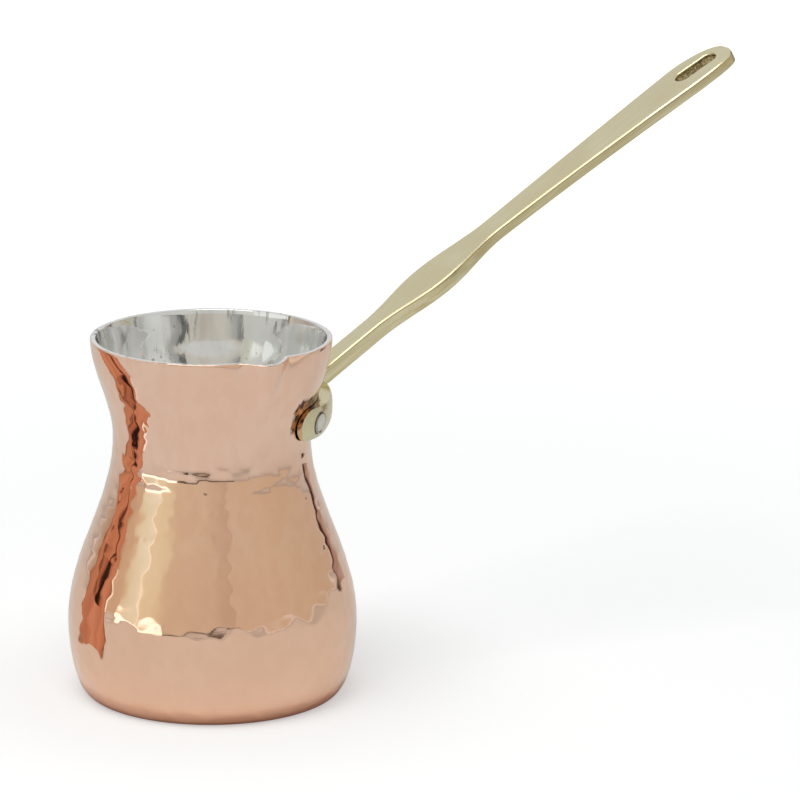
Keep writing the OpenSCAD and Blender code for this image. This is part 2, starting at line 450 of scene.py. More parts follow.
def hammered_copper():
    p = paint("hammered_copper")
    where = p.place()
    clouds = p.noise(where, 45, 4).between(0.35, 0.7)
    neck = p.height().between(0.015, 0.065)
    low = p.mix(clouds, colour(0.925, 0.605, 0.435), colour(0.94, 0.635, 0.465))
    high = p.mix(clouds, colour(0.935, 0.635, 0.48), colour(0.95, 0.67, 0.525))
    rub = p.noise(p.stretched(1, 1, 0.12), 900, 2)
    scratches = p.noise(p.stretched(0.05, 0.05, 1), 2600, 2)
    smudges = p.noise(where, 70, 5, 0.6).between(0.45, 0.75)

    # Heat tarnish and old polish along the upper edge of the bracket's ears, partly painted shade: a dark
    # painted reflection of the bracket and its shadow on the neck
    y = p.along("Y")
    round_by = y.math("ARCTAN2", y.unsigned(), p.along("X")) * NECK_R
    past = round_by.math("MAXIMUM", round_by - TARNISH_AND_SHADE_TO, 0)
    up = p.height() - BAND_Z
    above = up.math("MAXIMUM", up - TARNISH_AND_SHADE_UP, 0)
    far = (past ** 2 + above ** 2) ** 0.5 + TARNISH_AND_SHADE_WAVE * (p.noise(where, 420, 4, 0.7) - 0.5)
    tarnish_and_shade = (1 - far.between(TARNISH_AND_SHADE_R * 0.75, TARNISH_AND_SHADE_R)) * up.between(-2 * MM, 0)
    tarnish_and_shade = tarnish_and_shade * round_by.between(8 * MM, 13 * MM)
    mottles = p.noise(p.stretched(1, 1, 0.6), 300, 3).between(0.38, 0.62)
    plain = p.mix(0.38 * mottles, p.mix(neck, low, high), colour(0.895, 0.575, 0.41))
    flakes = p.noise(where, 430, 4).between(0.46, 0.6)
    # From near black to orange-brown: heat tarnish, and painted shade
    tarnish_and_shade_colour = p.mix(flakes, colour(0.07, 0.02, 0.008), colour(0.55, 0.22, 0.09))
    tone = p.mix(tarnish_and_shade, plain, tarnish_and_shade_colour)
    roughness = 0.045 + 0.05 * smudges + 0.03 * rub + 0.12 * tarnish_and_shade
    normal = p.bump(scratches, 0.03, 0.05 * MM, p.bump(rub, 0.04, 0.05 * MM))
    return p.metal(tone, roughness, normal)


def wiped_tin():
    p = paint("wiped_tin")
    where = p.place()
    wipes = p.noise(p.stretched(1, 1, 0.12), 170, 4, 0.6)
    blotches = p.noise(where, 90, 4).between(0.35, 0.7)
    specks = p.noise(where, 700, 3).between(0.68, 0.74)
    smears = p.noise(p.stretched(1, 1, 0.2), 120, 3).between(0.5, 0.68)
    # Dark upright strokes on the wall, kept off the bottom: painted dark reflections
    dark_reflection_strokes = p.noise(p.stretched(1, 1, 0.1), 560, 3, 0.6).between(0.53, 0.6)
    dark_reflection_strokes = dark_reflection_strokes * p.noise(p.stretched(1, 1, 0.5), 75, 2).between(0.45, 0.55)
    dark_reflection_strokes = dark_reflection_strokes * p.height().between(10 * MM, 20 * MM)
    tone = p.mix(blotches, colour(0.80, 0.805, 0.795), colour(0.87, 0.875, 0.865))
    tone = p.mix(0.35 * smears, tone, colour(0.60, 0.595, 0.57))
    tone = p.mix(0.8 * dark_reflection_strokes, tone, colour(0.24, 0.235, 0.21))
    tone = p.mix(0.6 * specks, tone, colour(0.35, 0.34, 0.32))
    roughness = 0.03 + 0.05 * wipes + 0.03 * blotches
    normal = p.bump(wipes, 0.25, 0.3 * MM)
    return p.metal(tone, roughness, normal, Metallic=0.8)


def polished_brass():
    p = paint("polished_brass")
    where = p.place()

    # Distance along the bar, and how far below its top
    first = math.radians(HANDLE_RISE)
    x = p.along("X") - pot_r(POT_H - HANDLE_DROP)
    z = p.height() - (POT_H - HANDLE_DROP)
    run = x * math.cos(first) + z * math.sin(first)
    droop = run ** 2 * (math.radians(HANDLE_BEND) / 2 / HANDLE_L)
    down = x * math.sin(first) - z * math.cos(first) - droop
    on_bar = run.between(1 * MM, 3 * MM)

    clouds = p.noise(where, 60, 4).between(0.35, 0.7)
    along_bar = p.node("ShaderNodeCombineXYZ", {}, {"X": run * 0.04, "Y": p.along("Y"), "Z": down})
    lines = p.noise(along_bar, 1800, 3)
    reflection_streaks = p.noise(along_bar, 650, 4, 0.6).between(0.36, 0.64)
    grain = p.noise(along_bar, 2400, 2).between(0.3, 0.7)
    top = p.mix(clouds, colour(0.72, 0.65, 0.415), colour(0.78, 0.72, 0.49))
    top = p.mix(0.3 * grain, top, colour(0.60, 0.54, 0.33))
    # The side: olive-brown and light bands along the bar, a painted reflection
    side_reflections = p.mix(reflection_streaks, colour(0.66, 0.57, 0.32), colour(0.80, 0.73, 0.48))
    tone = p.mix(on_bar * down.between(0.3 * MM, 0.6 * MM), top, side_reflections)
    # A thin dark line just under the filed edge on the side: a painted dark reflection
    edge = on_bar * down.between(0.36 * MM, 0.42 * MM) * (1 - down.between(0.48 * MM, 0.62 * MM))
    tone = p.mix(0.8 * edge * p.noise(along_bar, 300, 2).between(0.3, 0.55), tone, colour(0.20, 0.16, 0.07))

    # Rough casting inside the eye
    spare = 0.5 * MM
    soft = 0.2 * MM
    eye_from = HANDLE_L - EYE_WALL - EYE_L - spare
    eye_to = HANDLE_L - EYE_WALL + spare
    eye_half = EYE_W / 2 + spare
    inside = run.between(eye_from - soft, eye_from) * (1 - run.between(eye_to, eye_to + soft))
    inside = inside * (1 - p.along("Y").unsigned().between(eye_half, eye_half + soft))
    inside = inside * down.between(0.38 * MM, 0.5 * MM) * (1 - down.between(2.7 * MM, 2.9 * MM))
    pits = p.noise(where, 1500, 3, 0.7)
    # Darkest just under the eye's opened edge: a painted dark reflection, like the line under the bar's
    # filed edge
    eye_dark_reflection = 0.75 * (1 - down.between(0.5 * MM, 1.1 * MM))
    raw = p.mix(pits.between(0.4, 0.6), colour(0.25, 0.19, 0.085), colour(0.66, 0.54, 0.29))
    tone = p.mix(inside, tone, p.mix(eye_dark_reflection, raw, colour(0.07, 0.05, 0.02)))

    # Painted shadow in the seam round each rivet, darkest on the side of the ear's end
    aside, off_axis = p.round_rivet()
    seam_shadow = off_axis.between(0.93 * RIVET_R, RIVET_R)
    seam_shadow = seam_shadow * (1 - off_axis.between(1.09 * RIVET_R, 1.19 * RIVET_R))
    seam_shadow = seam_shadow * (0.25 + 0.75 * aside.between(-0.4 * RIVET_R, 0.3 * RIVET_R))
    seam_shadow = seam_shadow * (1 - run.between(0, 1 * MM))
    tone = p.mix(seam_shadow, tone, colour(0.015, 0.012, 0.008))
    roughness = 0.12 + 0.10 * lines + 0.05 * clouds + 0.25 * inside
    normal = p.bump(pits * inside, 0.6, 0.15 * MM, p.bump(lines, 0.05, 0.1 * MM))
    return p.metal(tone, roughness, normal)


def filed_steel():
    p = paint("filed_rivet")
    where = p.place()
    lines = p.noise(p.stretched(1, 1, 0.08), 2500, 3)
    clouds = p.noise(where, 400, 3).between(0.4, 0.7)
    tone = p.mix(clouds, colour(0.70, 0.68, 0.60), colour(0.79, 0.77, 0.69))
    _, off_axis = p.round_rivet()
    # A dark ring just inside the rivet's edge: painted shadow of the seam round it
    rivet_edge_shadow = off_axis.between(0.82 * RIVET_R, 0.9 * RIVET_R)
    rivet_edge_shadow = rivet_edge_shadow * (1 - off_axis.between(0.97 * RIVET_R, RIVET_R))
    rivet_edge_shadow = rivet_edge_shadow * p.noise(where, 500, 2).between(0.3, 0.5)
    tone = p.mix(rivet_edge_shadow, tone, colour(0.06, 0.055, 0.04))
    normal = p.bump(lines, 0.08, 0.05 * MM)
    return p.metal(tone, 0.2 + 0.1 * lines, normal)


# --- Pot ---

def wall_points(inset, top, step):
    """Outline of the pot from the middle of its base up to the height top, inset from the outside."""
    flat = [((BASE_R - inset) * i / FLAT_STEPS, inset) for i in range(FLAT_STEPS)]
    corner_steps = round(CORNER_L / step)
    corner = []
    for i in range(corner_steps):
        a = math.radians(90 * i / corner_steps)
        corner.append((BASE_R - inset + (BELLY_R - BASE_R) * math.sin(a),
                       inset + (BELLY_H - inset) * (1 - math.cos(a))))
    rise_steps = round((top - BELLY_H) / step)
    rise = [BELLY_H + (top - BELLY_H) * i / rise_steps for i in range(rise_steps + 1)]
    return flat + corner + [(pot_r(z) - inset, z) for z in rise]


def rim_points(corner):
    """Points of a rim, given by how far in and how far down they lie."""
    return [(RIM_R - away * MM, POT_H - down * MM) for away, down in corner]


def spout_shift(angle, z):
    """How far the pressed spout moves the wall outwards, and up, at an angle and height."""
    away = math.radians((angle - SPOUT_AT + 180) % 360 - 180) * RIM_R
    deep = (POT_H - z) / SPOUT_DEPTH
    if deep > 1 or abs(away) > SPOUT_ENDS * SPOUT_HALF:
        return 0, 0
    fade = (1 - deep) ** SPOUT_TAPER * (1 + SPOUT_FULLNESS * deep)
    half = SPOUT_HALF * (1 - SPOUT_NARROWING * deep)
    t = abs(away) / half
    out = SPOUT_REACH * ease(1, 0, (t - LIP_FLAT_TO) / (LIP_TO - LIP_FLAT_TO))
    pinch = PINCH * (PINCH_RIGHT if away > 0 else PINCH_LEFT) * (1 - deep) ** PINCH_TAPER
    pinch *= ease(0, 1, (t - FOLD_FROM) / (FOLD_DEEPEST - FOLD_FROM))
    pinch *= ease(1, 0, (t - FOLD_DEEPEST) / (FOLD_TO - FOLD_DEEPEST))
    dip = SPOUT_DIP * ease(1, 0, t) * ease(1, 0, deep / DIP_ENDS)
    return fade * out - fade * pinch, -dip


def press_spout(piece):
    """Presses the spout out of a turned piece."""
    for v in piece.data.vertices:
        angle = math.degrees(math.atan2(v.co.y, v.co.x))
        out, up = spout_shift(angle, v.co.z)
        if out or up:
            flat = Vector((v.co.x, v.co.y, 0))
            v.co += flat.normalized() * out + Vector((0, 0, up))


def hammer_marks():
    """The hammer marks in staggered rows, and a search tree of them.

    Each mark is its middle, how strongly it curves, how high its bottom lies and how it tilts.
    """
    rng = random.Random(MARK_SEED)
    marks = []
    outline = wall_points(0, POT_H, 0.5 * MM)
    run = 0
    for (r0, z0), (r1, z1) in zip(outline, outline[1:]):
        run += math.hypot(r1 - r0, z1 - z0)
        if run < MARK_PITCH or z1 < MARKS_FROM:
            continue
        run = 0
        count = round(2 * math.pi * r1 / MARK_PITCH)
        turn_by = rng.random()
        for i in range(count):
            a = 2 * math.pi * (i + turn_by + rng.uniform(-SCATTER_ROUND, SCATTER_ROUND)) / count
            z = z1 + rng.uniform(-SCATTER_UP, SCATTER_UP) * MARK_PITCH
            middle = Vector((r1 * math.cos(a), r1 * math.sin(a), z))
            vigour = 1 + VIGOUR * noise.noise(middle * VIGOUR_SCALE)
            glance = TILT_ROUND * vigour * rng.uniform(-1, 1) ** 3
            nod = TILT_UP * vigour * rng.uniform(-1, 1) ** 3
            tilt = Vector((-math.sin(a) * glance, math.cos(a) * glance, nod))
            deep = rng.random() < DEEP_MARKS
            curve = rng.uniform(CURVE_LEAST, CURVE_MOST) * (1 + vigour) / 2 + (DEEP_CURVE if deep else 0)
            bottom = (-DEEPER if deep else rng.uniform(0, SHALLOWER)) * MARK_DEPTH
            marks.append((middle, curve, bottom, tilt))
    tree = kdtree.KDTree(len(marks))
    for i, mark in enumerate(marks):
        tree.insert(mark[0], i)
    tree.balance()
    return marks, tree


def hammer(piece, is_wall):
    """Dents the wall inwards, each mark a shallow tilted dish, with the ridges between them left soft."""
    marks, tree = hammer_marks()
    normals = [v.normal.copy() for v in piece.data.vertices]
    for v, normal in zip(piece.data.vertices, normals):
        if not is_wall(v.co):
            continue
        heights = []
        for middle, i, away in tree.find_n(v.co, NEIGHBOURS):
            _, curve, bottom, tilt = marks[i]
            up = v.co.z - middle.z
            dish = CURVE_UP * up ** 2 + CURVE_ROUND * (away ** 2 - up ** 2)
            heights.append(bottom + curve * dish + tilt.dot(v.co - middle))
        least = min(heights)
        height = least - SOFT_RIDGE * math.log(sum(math.exp((least - h) / SOFT_RIDGE) for h in heights))
        fade = ease(1, 0, (v.co.z - (POT_H - FADE_FROM)) / FADE_TOP_H) * ease(0, 1, v.co.z / FADE_BASE_H)
        v.co -= normal * max(DEEPEST - height, 0) * fade


def make_copper_body():
    outside = wall_points(0, POT_H - 0.3 * MM, COPPER_STEP) + rim_points(COPPER_RIM)
    inside = wall_points(COPPER_BACK, POT_H - COPPER_BACK_TOP, BACK_STEP)
    body = turn("hammered_copper_pot", outside + inside[::-1], COPPER_SIDES)
    half_wall = COPPER_T / 2

    def outer(co):
        r = math.hypot(co.x, co.y)
        if co.z < BELLY_H:
            return r > BASE_R - 0.5 * MM and (co.z < COPPER_T or r > BELLY_R * 0.9)
        return r > pot_r(co.z) - half_wall

    hammer(body, outer)
    press_spout(body)
    body.data.materials.append(hammered_copper())
    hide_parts("copper_body")
    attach(body, "root")


def flared(r, z):
    """Radius of the lining at height z, opened out in a straight slant up to the rim."""
    if z < FLARE_EASES_FROM:
        return r
    eased_in = FLARE_IN * ease(0, 1, (z - FLARE_EASE_START) / FLARE_EASE_H)
    return pot_r(min(z, FLARE_FROM)) - WALL_T - eased_in + FLARE * max(0, z - FLARE_FROM)


def make_tin_lining():
    inside = [(flared(r, z), z) for r, z in wall_points(WALL_T, POT_H - 0.6 * MM, TIN_STEP)]
    back_top = POT_H - COPPER_BACK_TOP + TIN_OFF_COPPER
    back = wall_points(COPPER_BACK + TIN_OFF_COPPER, back_top, BACK_STEP)
    lining = turn("wiped_tin_lining", back + rim_points(TIN_RIM) + inside[::-1], TIN_SIDES)
    press_spout(lining)
    lining.data.materials.append(wiped_tin())
    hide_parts("tin_lining")
    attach(lining, "root")


# --- Handle ---

def bar_t(s):
    """Thickness of the bar at distance s from the pot."""
    if s < LEAF_AT:
        return ease(ROOT_T, LEAF_T, s / LEAF_AT)
    if s < WAIST_AT:
        return ease(LEAF_T, WAIST_T, (s - LEAF_AT) / (WAIST_AT - LEAF_AT))
    return ease(WAIST_T, END_T, (s - WAIST_AT) / (HANDLE_L - WAIST_AT))


def bar_half(s, fullness):
    """Half width of the bar at distance s. Fullness is 2 for a round tip and more for a squarer one."""
    if s < LEAF_FROM:
        return ROOT_W / 2
    if s < LEAF_AT:
        return ease(ROOT_W, LEAF_W, (s - LEAF_FROM) / (LEAF_AT - LEAF_FROM)) / 2
    if s < WAIST_AT:
        return ease(LEAF_W, WAIST_W, (s - LEAF_AT) / (WAIST_AT - LEAF_AT)) / 2
    if s < TIP_FROM:
        return (WAIST_W + (END_W - WAIST_W) * ((s - WAIST_AT) / (TIP_FROM - WAIST_AT)) ** WIDENING) / 2
    return END_W / 2 * max(0, 1 - ((s - TIP_FROM) / TIP_L) ** fullness) ** (1 / fullness)


def put_at_pot(piece):
    """Bends a straight bar, lying along X with its top on z = 0, to the handle's rise on the pot."""
    bend_r = HANDLE_L / math.radians(HANDLE_BEND)
    first = math.radians(HANDLE_RISE)
    root = Vector((pot_r(POT_H - HANDLE_DROP), 0, POT_H - HANDLE_DROP))
    for v in piece.data.vertices:
        rise = first - v.co.x / bend_r
        top = Vector((math.sin(first) - math.sin(rise), 0, math.cos(rise) - math.cos(first))) * bend_r
        v.co = root + top + Vector((-v.co.z * math.sin(rise), v.co.y, v.co.z * math.cos(rise)))


# Outline of the bar, 1 wide and 1 thick: a flat top, filed edges, and a parting ridge half way down, below
# which it narrows
BAR_SIDE = [(0.46, 0), (0.5, -0.1), (0.51, -0.5), (0.487, -0.93), (0.45, -1)]
BAR_OUTLINE = BAR_SIDE + [(-y, z) for y, z in BAR_SIDE[::-1]]

# Lengths of the bar that take even steps, and the steps round the tip
BAR_LENGTHS = [(LEAF_FROM, LEAF_AT, 20), (LEAF_AT, WAIST_AT, 24), (WAIST_AT, TIP_FROM, 16)]
TIP_STEPS = 18


def bar_size(s):
    """Width, shift to the back and thickness of the bar at distance s."""
    front = bar_half(s, FRONT_FULLNESS)
    back = bar_half(s, BACK_FULLNESS)
    return front + back, (back - front) / 2, bar_t(s)


def make_bar():
    stations = [LEAF_FROM]
    for first, last, steps in BAR_LENGTHS:
        stations += [first + (last - first) * i / steps for i in range(1, steps + 1)]
    stations += [TIP_FROM + TIP_L * math.sin(math.radians(90 * i / TIP_STEPS)) for i in range(1, TIP_STEPS)]

    at = -TUCK
    wide, off, thick = bar_size(at)
    ring = [Vector((at, y * wide, z * thick)) for y, z in BAR_OUTLINE]
    bar = draw(ring)
    bpy.ops.mesh.select_all(action="SELECT")
    bpy.ops.mesh.edge_face_add()
    for s in stations:
        new_wide, new_off, new_thick = bar_size(s)
        bpy.ops.mesh.extrude_region_move(TRANSFORM_OT_translate={"value": (s - at, new_off - off, 0)})
        bpy.ops.transform.resize(value=(1, new_wide / wide, new_thick / thick),
                                 center_override=(s, new_off, 0))
        at, wide, off, thick = s, new_wide, new_off, new_thick
    bpy.ops.mesh.select_all(action="SELECT")
    bpy.ops.mesh.normals_make_consistent(inside=False)
    finish(bar, "bar", 30)

    # The filed edge is as wide and as deep all along: the top face ends short, and the side starts lower
    for v in bar.data.vertices:
        wide, off, thick = bar_size(v.co.x)
        out = v.co.y - off
        if v.co.z > -0.05 * thick:
            v.co.y = off + math.copysign(wide / 2 - FILED, out)
        elif v.co.z > -0.3 * thick:
            v.co.z = -FILED

    eye = make_eye_cutter()
    modify(bar, "BOOLEAN", operation="DIFFERENCE", object=eye, solver="EXACT")
    bpy.data.objects.remove(eye)
    modify(bar, "BEVEL", width=FILED_SOFT, segments=2, limit_method="ANGLE", angle_limit=math.radians(25))
    put_at_pot(bar)
    return bar


def make_eye_cutter():
    """A long rounded hole with its upper edge opened out."""
    first = HANDLE_L - EYE_WALL - EYE_L + EYE_W / 2
    last = HANDLE_L - EYE_WALL - EYE_W / 2
    middle = (first + last) / 2
    deep = 10 * MM
    eye = start(bpy.ops.mesh.primitive_cylinder_add, vertices=48, radius=EYE_W / 2, depth=deep,
                location=(first, 0, -EYE_EDGE - deep / 2))
    bpy.ops.mesh.select_all(action="DESELECT")
    bpy.ops.object.mode_set(mode="OBJECT")
    for v in eye.data.vertices:
        v.select = v.co.x > MERGE
    bpy.ops.object.mode_set(mode="EDIT")
    bpy.ops.transform.translate(value=(last - first, 0, 0))
    bpy.ops.mesh.select_all(action="DESELECT")
    bpy.ops.object.mode_set(mode="OBJECT")
    for v in eye.data.vertices:
        v.select = v.co.z > 0
    bpy.ops.object.mode_set(mode="EDIT")
    bpy.ops.mesh.extrude_region_move(TRANSFORM_OT_translate={"value": (0, 0, 2 * EYE_EDGE)})
    bpy.ops.transform.resize(value=(1 + 4 * EYE_EDGE / EYE_L, 1 + 4 * EYE_EDGE / EYE_W, 1),
                             center_override=(middle, 0, EYE_EDGE))
    bpy.ops.mesh.select_all(action="SELECT")
    bpy.ops.transform.rotate(value=math.radians(EYE_TURN), orient_axis="Z",
                             center_override=(middle, 0, 0))
    return finish(eye, "eye_cutter")


# --- Bracket ---

NECK_AT_BAND = pot_r(BAND_Z)
FACE_SHIFT = (BAND_T - EAR_T) / (1 - math.cos(math.radians(EAR_REACH)))
FACE_R = NECK_AT_BAND + BAND_T - FACE_SHIFT
BAND_REACH = math.radians(EAR_REACH) * NECK_AT_BAND


def face_at(angle, up=0):
    """Distance of the bracket's outer face from the pot's axis, at a height above its middle."""
    low = min(max((LOWER_UP - BAND_H / 2 - up) / LOWER_UP, 0), 1)
    high = max(0, (up - BAND_H / 2 + UPPER_UP) / UPPER_UP)
    r = FACE_R - LOWER_IN * (1 - math.sqrt(1 - low ** 2)) - UPPER_IN * high ** 2
    return FACE_SHIFT * math.cos(angle) + math.sqrt(r ** 2 - (FACE_SHIFT * math.sin(angle)) ** 2)


def band_half(along):
    """Half height of the bracket at a distance round the neck from the handle."""
    half = ramp(BAND_H / 2, EAR_H / 2, (abs(along) - BAND_FULL) / BAND_SLOPE_L)
    left = BAND_REACH - abs(along)
    if left < EAR_H / 2:
        half = min(half, math.sqrt(max(0, (EAR_H / 2) ** 2 - (EAR_H / 2 - left) ** 2)))
    return half


def make_bracket():
    bracket = start(bpy.ops.mesh.primitive_grid_add, x_subdivisions=96, y_subdivisions=8, size=2,
                    rotation=(math.radians(90), 0, 0))
    bpy.ops.object.mode_set(mode="OBJECT")
    bpy.ops.object.transform_apply(location=False, rotation=True, scale=False)
    for v in bracket.data.vertices:
        along = BAND_REACH * math.sin(math.radians(90 * v.co.x))
        v.co = Vector((along, 0, band_half(along) * v.co.z))
    bpy.ops.object.mode_set(mode="EDIT")
    bpy.ops.mesh.select_all(action="SELECT")
    bpy.ops.mesh.remove_doubles(threshold=0.02 * MM)
    bpy.ops.mesh.extrude_region_move(TRANSFORM_OT_translate={"value": (0, EAR_T, 0)})
    bpy.ops.mesh.select_all(action="SELECT")
    bpy.ops.mesh.normals_make_consistent(inside=False)
    finish(bracket, "bracket", 30)
    modify(bracket, "BEVEL", width=BAND_SOFT, segments=3, limit_method="ANGLE",
           angle_limit=math.radians(50))
    for v in bracket.data.vertices:
        angle = v.co.x / NECK_AT_BAND
        z = BAND_Z + v.co.z
        lift = ease(0, EAR_GAP, (EAR_H / 4 - v.co.z) / EAR_H)
        lift *= ease(0, 1, (abs(angle) - EAR_GAP_FROM) / EAR_GAP_OVER)
        inner = pot_r(z) + SEAT_PLAY + lift
        r = inner + (face_at(angle, v.co.z) - inner) * v.co.y / EAR_T
        v.co = Vector((r * math.cos(angle), r * math.sin(angle), z))
    return bracket


def make_handle():
    bar = make_bar()
    plug = turn("plug", wall_points(-SEAT_PLAY, POT_H, 1 * MM) + [(0, POT_H)], 128)
    modify(bar, "BOOLEAN", operation="DIFFERENCE", object=plug, solver="EXACT")
    bpy.data.objects.remove(plug)
    bracket = make_bracket()
    modify(bar, "BOOLEAN", operation="UNION", object=bracket, solver="EXACT")
    bpy.data.objects.remove(bracket)
    bar.name = "cast_brass_handle"
    bar.data.name = bar.name
    bar.data.materials.clear()
    bar.data.materials.append(polished_brass())
    bpy.ops.object.shade_smooth_by_angle(angle=math.radians(28))
    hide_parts("handle")
    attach(bar, "root")


# --- Rivets ---

def make_rivet(name, node, angle):
    inner = NECK_AT_BAND - WALL_T
    outer = face_at(math.radians(RIVET_ANGLE)) + TAIL_H
    dome = [(HEAD_R * math.sin(math.radians(a)), inner - HEAD_H * math.cos(math.radians(a)))
            for a in range(0, 91, 15)]
    shank = [(HEAD_R, inner + HEAD_EDGE), (RIVET_R, inner + HEAD_EDGE)]
    closed = [(RIVET_R - away * MM, outer - down * MM) for away, down in TAIL_EDGE]
    rivet = turn(name, dome + shank + closed + [(RIVET_R / 2, outer), (0, outer)], RIVET_SIDES, 40)

    # The closed end follows the face of the ear
    middle = face_at(math.radians(angle))
    for v in rivet.data.vertices:
        if v.co.z > outer - TAIL_FOLLOWS:
            aside = math.atan2(v.co.y, middle)
            v.co.z += face_at(math.radians(angle) + aside, -v.co.x) * math.cos(aside) - middle
    rivet.rotation_euler = (0, math.radians(90), math.radians(angle))
    rivet.location = (0, 0, BAND_Z)
    bpy.ops.object.transform_apply(location=True, rotation=True, scale=True)
    rivet.data.materials.append(filed_steel())
    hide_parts(node)
    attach(rivet, "root")


make_copper_body()
make_tin_lining()
make_handle()
make_rivet("front_rivet", "rivet_front", -RIVET_ANGLE)
make_rivet("back_rivet", "rivet_back", RIVET_ANGLE)


# --- Studio: a pale floor, soft light and the boards that the metal mirrors ---

# Walls at a distance. The metal mirrors their lower edge as its horizon
WALL_AWAY = 1.0
WALL_TOP = 1.2
EDGE = 0.047
EDGE_AWAY = 0.98
BRIGHTEST = 2

# Boards over the mouth, and the card further out on the handle's side
MOUTH_AWAY = 0.06
CARD_AWAY = 0.1

# Floor
FLOOR_R = 6
FLOOR_DOWN = 0.02 * MM
MIRRORED_TO = 0.08

# Lamp
LAMP_AT = Vector((-0.35, -0.25, 1.3))
LAMP_AIM = Vector((0, 0, 0.05))
LAMP_SIZE = 0.9
LAMP_POWER = 9


def show_only_in_metal(board):
    board.visible_camera = False
    board.visible_diffuse = False
    board.visible_shadow = False


def around(left, right, outline):
    """A sheet that follows an outline of (away, height), swept from one angle to another.

    The angles are counted from the camera's side of the pot, to the right.
    """
    at = math.radians(CAMERA_AT + left)
    sheet = draw([Vector((away * math.sin(at), -away * math.cos(at), z)) for away, z in outline])
    bpy.ops.mesh.select_all(action="SELECT")
    bpy.ops.mesh.spin(steps=round(right - left), angle=math.radians(left - right),
                      center=(0, 0, 0), axis=(0, 0, 1))
    return sheet


def light_up(board, name, p, tone, strength):
    light = p.node("ShaderNodeEmission", {}, {"Color": tone, "Strength": strength})
    p.node("ShaderNodeOutputMaterial", {}, {"Surface": light})
    finish(board, name)
    board.data.materials.append(p.owner)
    show_only_in_metal(board)


def add_board(name, left, right, outline, shine):
    """A glowing sheet of one colour that only the metal sees."""
    board = around(left, right, outline)
    light_up(board, name, paint(name), colour(*shine), 1)


def add_graded_board(name, left, right, outline, shades, waver=6, slant=0, lean=0):
    """A glowing sheet that only the metal sees, with its colour given from angle to angle.

    The colours waver by some degrees, and slant by some degrees for each metre up. With a lean, the
    whole sheet slants.
    """
    board = around(left, right, outline)
    away, low = outline[0]
    p = paint(name)
    x = p.along("X")
    angle = x.math("ARCTAN2", x, 0 - p.along("Y")) * (180 / math.pi) - CAMERA_AT
    if slant or lean:
        angle = angle - (p.height() - low) * (slant + lean)
    wave = (p.noise(p.stretched(1, 1, 0.6), 5 / away, 3) - 0.5) * waver
    stops = [((at - left) / (right - left), [part / BRIGHTEST for part in shade]) for at, shade in shades]
    place = (angle + wave - left) / (right - left)
    tone = p.node("ShaderNodeValToRGB", {"stops": stops}, {"Fac": place})
    light_up(board, name, p, tone, BRIGHTEST)
    for v in board.data.vertices:
        v.co = Matrix.Rotation(math.radians(lean) * (v.co.z - low), 3, "Z") @ v.co


def add_floor():
    floor = start(bpy.ops.mesh.primitive_circle_add, vertices=96, radius=FLOOR_R, fill_type="NGON",
                  location=(0, 0, -FLOOR_DOWN))
    finish(floor, "floor")
    p = paint("floor")
    camera = p.node("ShaderNodeLightPath", output="Is Camera Ray")
    glossy = p.node("ShaderNodeLightPath", output="Is Glossy Ray")
    away = p.away()
    plain = p.node("ShaderNodeBsdfDiffuse", {}, {"Color": colour(0.6, 0.595, 0.575)})
    # Painted contact shadow: what the camera sees of the floor is darker close round the base
    near = p.mix(away.between(0.035, 0.095), colour(0.45, 0.463, 0.475), colour(0.535, 0.55, 0.562))
    seen = p.mix(away.between(0.12, 1), near, colour(0.975, 0.985, 0.99))

    # What the metal sees of it: painted shadow, dark and reddish against the base, and an even painted glow
    # further out
    stops = [(0.37, (0.02, 0, 0)), (0.408, (0.05, 0.014, 0.01)), (0.433, (0.14, 0.085, 0.075)),
             (0.46, (0.235, 0.218, 0.21)), (0.50, (0.25, 0.256, 0.258)),
             (0.62, (0.228, 0.237, 0.242)), (1, (0.213, 0.217, 0.219))]
    mirrored = p.node("ShaderNodeValToRGB", {"stops": stops}, {"Fac": away / MIRRORED_TO})
    tone = p.mix(camera, p.mix(glossy, colour(0, 0, 0), mirrored), seen)
    glow = p.node("ShaderNodeEmission", {}, {"Color": tone, "Strength": 1})
    both = p.node("ShaderNodeAddShader", {}, {0: plain, 1: glow})
    p.node("ShaderNodeOutputMaterial", {}, {"Surface": both})
    floor.data.materials.append(p.owner)


def add_world():
    """White to the camera, and soft grey light on the object."""
    world = bpy.data.worlds.new("studio")
    bpy.context.scene.world = world
    p = Paint(world)
    camera = p.node("ShaderNodeLightPath", output="Is Camera Ray")
    glossy = p.node("ShaderNodeLightPath", output="Is Glossy Ray")
    strength = 0.35 + 0.65 * camera + 0.4 * glossy
    light = p.node("ShaderNodeBackground", {}, {"Color": colour(1, 1, 1), "Strength": strength})
    p.node("ShaderNodeOutputWorld", {}, {"Surface": light})


def add_lamp():
    bpy.ops.object.light_add(type="AREA", location=LAMP_AT)
    lamp = bpy.context.active_object
    lamp.name = "soft_lamp"
    lamp.data.shape = "DISK"
    lamp.data.size = LAMP_SIZE
    lamp.data.energy = LAMP_POWER
    towards = (LAMP_AIM - LAMP_AT).to_track_quat("-Z", "Y").to_matrix().to_4x4()
    lamp.matrix_world = Matrix.Translation(LAMP_AT) @ towards


